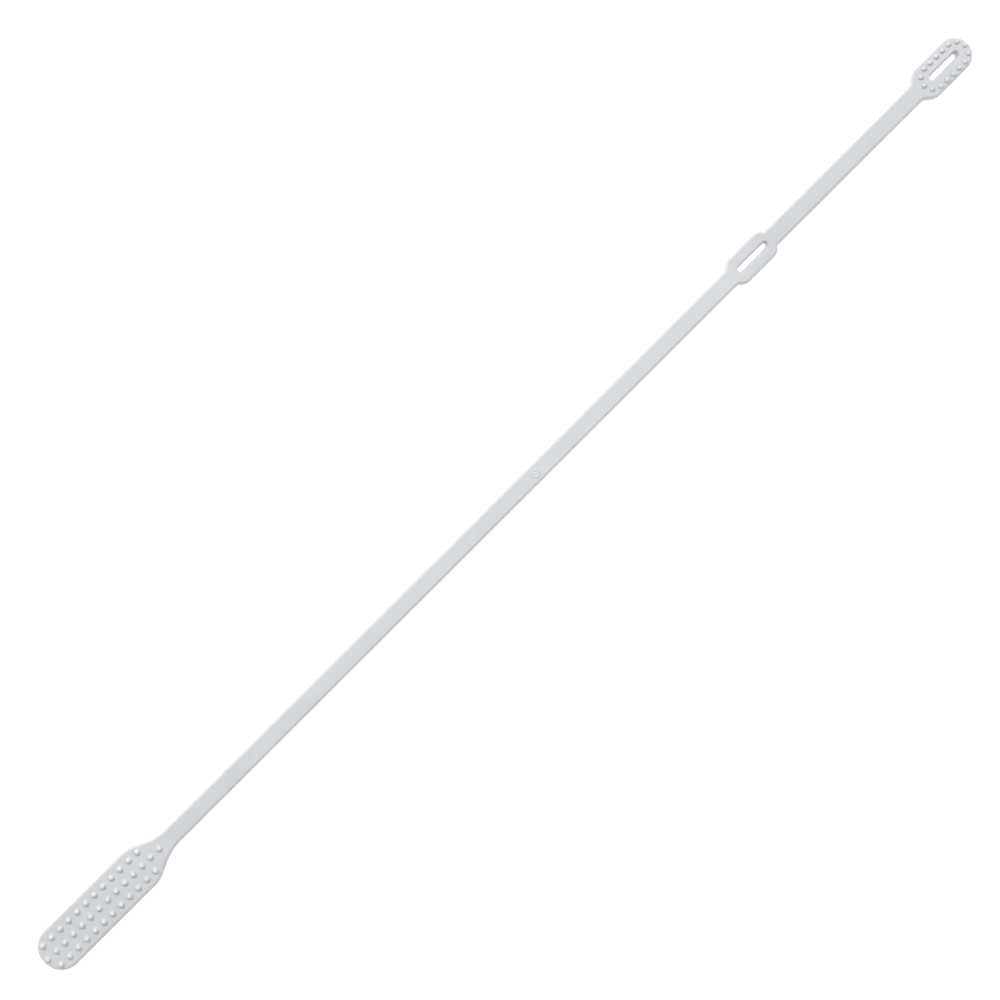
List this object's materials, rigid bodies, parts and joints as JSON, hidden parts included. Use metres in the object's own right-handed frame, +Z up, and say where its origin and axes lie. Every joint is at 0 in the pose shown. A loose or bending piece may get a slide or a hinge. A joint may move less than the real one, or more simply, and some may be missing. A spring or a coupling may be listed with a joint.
{
  "type": "sock aid strap",
  "caption": "Long thin flexible plastic strap with a nubbed rounded paddle at one end, a slotted loop near the other end and a nubbed, slotted loop at the tip.",
  "frame": {"origin": "centre of the underside's bounding rectangle, on the surface that the strap lies on", "axes": "+X along the strap from the paddle to the tip loop, +Y across it, +Z up out of the nubbed face"},
  "size_m": [0.4, 0.0144, 0.0033],
  "materials": {
    "grey_plastic": "satin, with a fine moulded grain"
  },
  "bodies": {
    "paddle": {"paddle_blade": "grey_plastic", "paddle_nubs": "grey_plastic"},
    "strap_link_01": {"strap_link_01": "grey_plastic"},
    "strap_link_02": {"strap_link_02": "grey_plastic"},
    "strap_link_03": {"strap_link_03": "grey_plastic"},
    "strap_link_04": {"strap_link_04": "grey_plastic"},
    "strap_link_05": {"strap_link_05": "grey_plastic"},
    "strap_link_06": {"strap_link_06": "grey_plastic"},
    "strap_link_07": {"strap_link_07": "grey_plastic"},
    "strap_link_08": {"strap_link_08": "grey_plastic"},
    "strap_link_09": {"strap_link_09": "grey_plastic"},
    "strap_link_10": {"strap_link_10": "grey_plastic"},
    "strap_link_11": {"strap_link_11": "grey_plastic"},
    "strap_link_12": {"strap_link_12": "grey_plastic"},
    "strap_link_13": {"strap_link_13": "grey_plastic"},
    "strap_link_14": {"strap_link_14": "grey_plastic"},
    "strap_link_15": {"strap_link_15": "grey_plastic"},
    "strap_link_16": {"strap_link_16": "grey_plastic"},
    "strap_link_17": {"strap_link_17": "grey_plastic"},
    "strap_link_18": {"strap_link_18": "grey_plastic", "gate_mark": "grey_plastic"},
    "strap_link_19": {"strap_link_19": "grey_plastic"},
    "strap_link_20": {"strap_link_20": "grey_plastic"},
    "strap_link_21": {"strap_link_21": "grey_plastic"},
    "strap_link_22": {"strap_link_22": "grey_plastic"},
    "strap_link_23": {"strap_link_23": "grey_plastic"},
    "strap_link_24": {"strap_link_24": "grey_plastic"},
    "strap_link_25": {"strap_link_25": "grey_plastic"},
    "strap_link_26": {"strap_link_26": "grey_plastic"},
    "strap_link_27": {"strap_link_27": "grey_plastic"},
    "strap_link_28": {"strap_link_28": "grey_plastic"},
    "strap_link_29": {"strap_link_29": "grey_plastic"},
    "mid_loop": {"mid_loop": "grey_plastic"},
    "tail_link_01": {"tail_link_01": "grey_plastic"},
    "tail_link_02": {"tail_link_02": "grey_plastic"},
    "tail_link_03": {"tail_link_03": "grey_plastic"},
    "tail_link_04": {"tail_link_04": "grey_plastic"},
    "tail_link_05": {"tail_link_05": "grey_plastic"},
    "tail_link_06": {"tail_link_06": "grey_plastic"},
    "tail_link_07": {"tail_link_07": "grey_plastic"},
    "tail_link_08": {"tail_link_08": "grey_plastic"},
    "tip": {"tip_loop": "grey_plastic", "tip_nubs": "grey_plastic"}
  },
  "joints": [
    {"name": "paddle_twist", "type": "hinge", "parent": "strap_link_06", "child": "strap_link_05", "pos_m": [-0.08, 0, 0.00125], "axis": [1, 0, 0], "range_deg": [-15, 15], "stiffness_Nm_per_rad": 0.1},
    {"name": "strap_twist_05", "type": "hinge", "parent": "strap_link_05", "child": "strap_link_04", "pos_m": [-0.092, 0, 0.00125], "axis": [1, 0, 0], "range_deg": [-15, 15], "stiffness_Nm_per_rad": 0.1},
    {"name": "strap_twist_04", "type": "hinge", "parent": "strap_link_04", "child": "strap_link_03", "pos_m": [-0.104, 0, 0.00125], "axis": [1, 0, 0], "range_deg": [-15, 15], "stiffness_Nm_per_rad": 0.1},
    {"name": "strap_twist_03", "type": "hinge", "parent": "strap_link_03", "child": "strap_link_02", "pos_m": [-0.116, 0, 0.00125], "axis": [1, 0, 0], "range_deg": [-15, 15], "stiffness_Nm_per_rad": 0.1},
    {"name": "strap_twist_02", "type": "hinge", "parent": "strap_link_02", "child": "strap_link_01", "pos_m": [-0.128, 0, 0.00125], "axis": [1, 0, 0], "range_deg": [-15, 15], "stiffness_Nm_per_rad": 0.1},
    {"name": "strap_twist_01", "type": "hinge", "parent": "strap_link_01", "child": "paddle", "pos_m": [-0.14, 0, 0.00125], "axis": [1, 0, 0], "range_deg": [-15, 15], "stiffness_Nm_per_rad": 0.1},
    {"name": "strap_loop", "type": "hinge", "parent": "strap_link_18", "child": "strap_link_17", "pos_m": [0.01057, 0, 0.00125], "axis": [0.0724, 0.9974, 0], "range_deg": [0, 15], "stiffness_Nm_per_rad": 0.2463},
    {"name": "strap_bend_11", "type": "hinge", "parent": "strap_link_17", "child": "strap_link_16", "pos_m": [0.00589, 0, 0.00125], "axis": [0.0724, 0.9974, 0], "range_deg": [0, 15], "stiffness_Nm_per_rad": 0.2431},
    {"name": "strap_bend_10", "type": "hinge", "parent": "strap_link_16", "child": "strap_link_15", "pos_m": [0.00111, 0, 0.00125], "axis": [0.0724, 0.9974, 0], "range_deg": [0, 15], "stiffness_Nm_per_rad": 0.2368},
    {"name": "strap_bend_09", "type": "hinge", "parent": "strap_link_15", "child": "strap_link_14", "pos_m": [-0.00382, 0, 0.00125], "axis": [0.0724, 0.9974, 0], "range_deg": [0, 15], "stiffness_Nm_per_rad": 0.2273},
    {"name": "strap_bend_08", "type": "hinge", "parent": "strap_link_14", "child": "strap_link_13", "pos_m": [-0.009, 0, 0.00125], "axis": [0.0724, 0.9974, 0], "range_deg": [0, 15], "stiffness_Nm_per_rad": 0.215},
    {"name": "strap_bend_07", "type": "hinge", "parent": "strap_link_13", "child": "strap_link_12", "pos_m": [-0.01452, 0, 0.00125], "axis": [0.0724, 0.9974, 0], "range_deg": [0, 15], "stiffness_Nm_per_rad": 0.1998},
    {"name": "strap_bend_06", "type": "hinge", "parent": "strap_link_12", "child": "strap_link_11", "pos_m": [-0.02052, 0, 0.00125], "axis": [0.0724, 0.9974, 0], "range_deg": [0, 15], "stiffness_Nm_per_rad": 0.182},
    {"name": "strap_bend_05", "type": "hinge", "parent": "strap_link_11", "child": "strap_link_10", "pos_m": [-0.02716, 0, 0.00125], "axis": [0.0724, 0.9974, 0], "range_deg": [0, 15], "stiffness_Nm_per_rad": 0.1618},
    {"name": "strap_bend_04", "type": "hinge", "parent": "strap_link_10", "child": "strap_link_09", "pos_m": [-0.03474, 0, 0.00125], "axis": [0.0724, 0.9974, 0], "range_deg": [0, 15], "stiffness_Nm_per_rad": 0.1394},
    {"name": "strap_bend_03", "type": "hinge", "parent": "strap_link_09", "child": "strap_link_08", "pos_m": [-0.04367, 0, 0.00125], "axis": [0.0724, 0.9974, 0], "range_deg": [0, 15], "stiffness_Nm_per_rad": 0.115},
    {"name": "strap_bend_02", "type": "hinge", "parent": "strap_link_08", "child": "strap_link_07", "pos_m": [-0.05474, 0, 0.00125], "axis": [0.0724, 0.9974, 0], "range_deg": [0, 15], "stiffness_Nm_per_rad": 0.0889},
    {"name": "strap_bend_01", "type": "hinge", "parent": "strap_link_07", "child": "strap_link_06", "pos_m": [-0.06955, 0, 0.00125], "axis": [0.0724, 0.9974, 0], "range_deg": [0, 15], "stiffness_Nm_per_rad": 0.0777},
    {"name": "strap_bend_13", "type": "hinge", "parent": "strap_link_18", "child": "strap_link_19", "pos_m": [0.01523, 0, 0.00125], "axis": [-0.0724, -0.9974, 0], "range_deg": [0, 15], "stiffness_Nm_per_rad": 0.2463},
    {"name": "strap_bend_14", "type": "hinge", "parent": "strap_link_19", "child": "strap_link_20", "pos_m": [0.01991, 0, 0.00125], "axis": [-0.0724, -0.9974, 0], "range_deg": [0, 15], "stiffness_Nm_per_rad": 0.2431},
    {"name": "strap_bend_15", "type": "hinge", "parent": "strap_link_20", "child": "strap_link_21", "pos_m": [0.02469, 0, 0.00125], "axis": [-0.0724, -0.9974, 0], "range_deg": [0, 15], "stiffness_Nm_per_rad": 0.2368},
    {"name": "strap_bend_16", "type": "hinge", "parent": "strap_link_21", "child": "strap_link_22", "pos_m": [0.02962, 0, 0.00125], "axis": [-0.0724, -0.9974, 0], "range_deg": [0, 15], "stiffness_Nm_per_rad": 0.2273},
    {"name": "strap_bend_17", "type": "hinge", "parent": "strap_link_22", "child": "strap_link_23", "pos_m": [0.0348, 0, 0.00125], "axis": [-0.0724, -0.9974, 0], "range_deg": [0, 15], "stiffness_Nm_per_rad": 0.215},
    {"name": "strap_bend_18", "type": "hinge", "parent": "strap_link_23", "child": "strap_link_24", "pos_m": [0.04032, 0, 0.00125], "axis": [-0.0724, -0.9974, 0], "range_deg": [0, 15], "stiffness_Nm_per_rad": 0.1998},
    {"name": "strap_bend_19", "type": "hinge", "parent": "strap_link_24", "child": "strap_link_25", "pos_m": [0.04632, 0, 0.00125], "axis": [-0.0724, -0.9974, 0], "range_deg": [0, 15], "stiffness_Nm_per_rad": 0.182},
    {"name": "strap_bend_20", "type": "hinge", "parent": "strap_link_25", "child": "strap_link_26", "pos_m": [0.05296, 0, 0.00125], "axis": [-0.0724, -0.9974, 0], "range_deg": [0, 15], "stiffness_Nm_per_rad": 0.1618},
    {"name": "strap_bend_21", "type": "hinge", "parent": "strap_link_26", "child": "strap_link_27", "pos_m": [0.06054, 0, 0.00125], "axis": [-0.0724, -0.9974, 0], "range_deg": [0, 15], "stiffness_Nm_per_rad": 0.1394},
    {"name": "strap_bend_22", "type": "hinge", "parent": "strap_link_27", "child": "strap_link_28", "pos_m": [0.06947, 0, 0.00125], "axis": [-0.0724, -0.9974, 0], "range_deg": [0, 15], "stiffness_Nm_per_rad": 0.115},
    {"name": "strap_bend_23", "type": "hinge", "parent": "strap_link_28", "child": "strap_link_29", "pos_m": [0.08054, 0, 0.00125], "axis": [-0.0724, -0.9974, 0], "range_deg": [0, 15], "stiffness_Nm_per_rad": 0.0889},
    {"name": "strap_bend_24", "type": "hinge", "parent": "strap_link_29", "child": "mid_loop", "pos_m": [0.09535, 0, 0.00125], "axis": [-0.0724, -0.9974, 0], "range_deg": [0, 15], "stiffness_Nm_per_rad": 0.0777},
    {"name": "tail_curl", "type": "hinge", "parent": "mid_loop", "child": "tail_link_01", "pos_m": [0.118, 0, 0.00125], "axis": [0, -1, 0], "range_deg": [0, 10], "stiffness_Nm_per_rad": 0.1586},
    {"name": "tail_bend_02", "type": "hinge", "parent": "tail_link_01", "child": "tail_link_02", "pos_m": [0.12525, 0, 0.00125], "axis": [0, -1, 0], "range_deg": [0, 10], "stiffness_Nm_per_rad": 0.1586},
    {"name": "tail_bend_03", "type": "hinge", "parent": "tail_link_02", "child": "tail_link_03", "pos_m": [0.1325, 0, 0.00125], "axis": [0, -1, 0], "range_deg": [0, 10], "stiffness_Nm_per_rad": 0.1586},
    {"name": "tail_bend_04", "type": "hinge", "parent": "tail_link_03", "child": "tail_link_04", "pos_m": [0.13975, 0, 0.00125], "axis": [0, -1, 0], "range_deg": [0, 10], "stiffness_Nm_per_rad": 0.1586},
    {"name": "tail_bend_05", "type": "hinge", "parent": "tail_link_04", "child": "tail_link_05", "pos_m": [0.147, 0, 0.00125], "axis": [0, -1, 0], "range_deg": [0, 10], "stiffness_Nm_per_rad": 0.1586},
    {"name": "tail_bend_06", "type": "hinge", "parent": "tail_link_05", "child": "tail_link_06", "pos_m": [0.15425, 0, 0.00125], "axis": [0, -1, 0], "range_deg": [0, 10], "stiffness_Nm_per_rad": 0.1586},
    {"name": "tail_bend_07", "type": "hinge", "parent": "tail_link_06", "child": "tail_link_07", "pos_m": [0.1615, 0, 0.00125], "axis": [0, -1, 0], "range_deg": [0, 10], "stiffness_Nm_per_rad": 0.1586},
    {"name": "tail_bend_08", "type": "hinge", "parent": "tail_link_07", "child": "tail_link_08", "pos_m": [0.16875, 0, 0.00125], "axis": [0, -1, 0], "range_deg": [0, 10], "stiffness_Nm_per_rad": 0.1586},
    {"name": "tail_bend_09", "type": "hinge", "parent": "tail_link_08", "child": "tip", "pos_m": [0.176, 0, 0.00125], "axis": [0, -1, 0], "range_deg": [0, 10], "stiffness_Nm_per_rad": 0.1586}
  ],
  "couplings": [
    {"joint": "strap_twist_05", "follows": "paddle_twist", "ratio": 1},
    {"joint": "strap_twist_04", "follows": "paddle_twist", "ratio": 1},
    {"joint": "strap_twist_03", "follows": "paddle_twist", "ratio": 1},
    {"joint": "strap_twist_02", "follows": "paddle_twist", "ratio": 1},
    {"joint": "strap_twist_01", "follows": "paddle_twist", "ratio": 1},
    {"joint": "strap_bend_11", "follows": "strap_loop", "ratio": 1},
    {"joint": "strap_bend_10", "follows": "strap_loop", "ratio": 1},
    {"joint": "strap_bend_09", "follows": "strap_loop", "ratio": 1},
    {"joint": "strap_bend_08", "follows": "strap_loop", "ratio": 1},
    {"joint": "strap_bend_07", "follows": "strap_loop", "ratio": 1},
    {"joint": "strap_bend_06", "follows": "strap_loop", "ratio": 1},
    {"joint": "strap_bend_05", "follows": "strap_loop", "ratio": 1},
    {"joint": "strap_bend_04", "follows": "strap_loop", "ratio": 1},
    {"joint": "strap_bend_03", "follows": "strap_loop", "ratio": 1},
    {"joint": "strap_bend_02", "follows": "strap_loop", "ratio": 1},
    {"joint": "strap_bend_01", "follows": "strap_loop", "ratio": 1},
    {"joint": "strap_bend_13", "follows": "strap_loop", "ratio": 1},
    {"joint": "strap_bend_14", "follows": "strap_loop", "ratio": 1},
    {"joint": "strap_bend_15", "follows": "strap_loop", "ratio": 1},
    {"joint": "strap_bend_16", "follows": "strap_loop", "ratio": 1},
    {"joint": "strap_bend_17", "follows": "strap_loop", "ratio": 1},
    {"joint": "strap_bend_18", "follows": "strap_loop", "ratio": 1},
    {"joint": "strap_bend_19", "follows": "strap_loop", "ratio": 1},
    {"joint": "strap_bend_20", "follows": "strap_loop", "ratio": 1},
    {"joint": "strap_bend_21", "follows": "strap_loop", "ratio": 1},
    {"joint": "strap_bend_22", "follows": "strap_loop", "ratio": 1},
    {"joint": "strap_bend_23", "follows": "strap_loop", "ratio": 1},
    {"joint": "strap_bend_24", "follows": "strap_loop", "ratio": 1},
    {"joint": "tail_bend_02", "follows": "tail_curl", "ratio": 1},
    {"joint": "tail_bend_03", "follows": "tail_curl", "ratio": 1},
    {"joint": "tail_bend_04", "follows": "tail_curl", "ratio": 1},
    {"joint": "tail_bend_05", "follows": "tail_curl", "ratio": 1},
    {"joint": "tail_bend_06", "follows": "tail_curl", "ratio": 1},
    {"joint": "tail_bend_07", "follows": "tail_curl", "ratio": 1},
    {"joint": "tail_bend_08", "follows": "tail_curl", "ratio": 1},
    {"joint": "tail_bend_09", "follows": "tail_curl", "ratio": 1}
  ]
}
